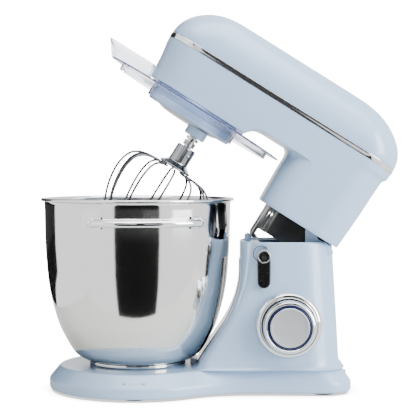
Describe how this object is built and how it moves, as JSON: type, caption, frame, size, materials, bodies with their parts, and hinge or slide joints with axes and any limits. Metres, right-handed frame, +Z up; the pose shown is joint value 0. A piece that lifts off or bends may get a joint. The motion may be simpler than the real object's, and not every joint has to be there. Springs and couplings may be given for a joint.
{
  "type": "tilt-head stand mixer",
  "caption": "Stand mixer with its head tilted up: round-front base, column with speed knob and lever, handled steel bowl, planetary whisk and clear splash guard.",
  "frame": {"origin": "middle of the bounding box, on the surface the feet stand on, with the head tilted up", "axes": "+Z up; +X from the bowl to the column; the speed knob and lever are on the -Y side"},
  "size_m": [0.4489, 0.2782, 0.4717],
  "materials": {
    "shell": "gloss",
    "steel": "satin",
    "chrome": "mirror",
    "chrome_plastic": "plated mirror",
    "cast_metal": "satin",
    "bowl_steel": "polished outside, brushed inside",
    "brushed_disc": "spun brushed",
    "light_ring": "gloss",
    "board": "matte",
    "black_plastic": "gloss",
    "black_metal": "satin black",
    "rubber": "matte",
    "winding": "lacquered copper",
    "clear_guard": "clear, violet-blue edge"
  },
  "bodies": {
    "stand": {"base_housing": "shell", "base_plate": "steel", "foot_1": "rubber", "foot_2": "rubber", "foot_3": "rubber", "foot_4": "rubber", "foot_5": "rubber", "bowl_seat": "steel", "column_trim": "chrome", "knob_bezel": "chrome", "speed_switch": "black_plastic", "control_board": "board", "hinge_pin": "steel", "interlock_post": "shell", "cord_gland": "rubber"},
    "head": {"head_top_cover": "shell", "head_trim_band": "chrome", "head_lower_housing": "shell", "planetary_housing": "cast_metal", "ring_gear": "steel", "drive_belt": "rubber", "motor_stator": "winding", "gearbox_plate": "cast_metal", "hinge_bracket": "black_metal", "latch_plate_near": "steel", "latch_plate_far": "steel", "splash_guard": "clear_guard"},
    "carrier": {"planet_hub": "cast_metal", "spindle_boss": "shell", "main_shaft": "steel", "main_gear": "steel"},
    "beater": {"spindle": "steel", "planet_pinion": "steel", "spindle_spring": "chrome", "whisk_hub": "chrome", "drive_pin": "steel", "whisk_loop_1": "chrome", "whisk_loop_2": "chrome", "whisk_loop_3": "chrome", "whisk_loop_4": "chrome", "whisk_loop_5": "chrome", "whisk_loop_6": "chrome"},
    "layshaft": {"layshaft": "steel", "driven_pulley": "cast_metal"},
    "rotor": {"armature": "steel", "motor_fan": "black_plastic", "motor_pulley": "steel"},
    "knob": {"speed_knob": "chrome_plastic", "knob_light_ring": "light_ring", "knob_cap": "brushed_disc"},
    "lever": {"tilt_lever": "black_plastic", "lever_ring": "chrome", "lever_shaft": "steel"},
    "latch": {"latch_bar": "steel"},
    "interlock": {"interlock_pin": "steel"},
    "bowl": {"bowl": "bowl_steel", "bowl_foot": "bowl_steel", "bowl_handle_near": "chrome", "bowl_handle_far": "chrome"}
  },
  "joints": [
    {"name": "head_tilt", "type": "hinge", "parent": "stand", "child": "head", "pos_m": [0.125, 0, 0.1722], "axis": [0, 1, 0], "range_deg": [-32, 0]},
    {"name": "carrier_spin", "type": "hinge", "parent": "head", "child": "carrier", "pos_m": [-0.03243, 0, 0.35052], "axis": [0.5299, 0, 0.848], "continuous": true},
    {"name": "beater_spin", "type": "hinge", "parent": "carrier", "child": "beater", "pos_m": [-0.01736, -0.02418, 0.34111], "axis": [0.5299, 0, 0.848], "continuous": true},
    {"name": "layshaft_spin", "type": "hinge", "parent": "head", "child": "layshaft", "pos_m": [0.04177, 0, 0.37491], "axis": [0.5299, 0, 0.848], "continuous": true},
    {"name": "motor_spin", "type": "hinge", "parent": "head", "child": "rotor", "pos_m": [0.15117, 0, 0.30655], "axis": [0.5299, 0, 0.848], "continuous": true},
    {"name": "knob_turn", "type": "hinge", "parent": "stand", "child": "knob", "pos_m": [0.085, -0.062, 0.0865], "axis": [0, -1, 0], "range_deg": [-30, 210]},
    {"name": "lever_turn", "type": "hinge", "parent": "stand", "child": "lever", "pos_m": [0.0545, -0.0565, 0.171], "axis": [0, 1, 0], "range_deg": [0, 40]},
    {"name": "latch_slide", "type": "slide", "parent": "stand", "child": "latch", "axis": [1, 0, 0], "range_m": [-0.0091, 0]},
    {"name": "interlock_press", "type": "slide", "parent": "stand", "child": "interlock", "axis": [0, 0, 1], "range_m": [-0.005, 0], "stiffness_N_per_m": 300, "springref_m": 0.002},
    {"name": "bowl_twist", "type": "hinge", "parent": "stand", "child": "bowl", "pos_m": [-0.103, 0, 0.034], "axis": [0, 0, 1], "range_deg": [0, 25]}
  ],
  "couplings": [
    {"joint": "beater_spin", "follows": "carrier_spin", "ratio": -3},
    {"joint": "layshaft_spin", "follows": "carrier_spin", "ratio": -2.3333},
    {"joint": "motor_spin", "follows": "carrier_spin", "ratio": -8.75},
    {"joint": "latch_slide", "follows": "lever_turn", "m_per_rad": -0.012892}
  ]
}
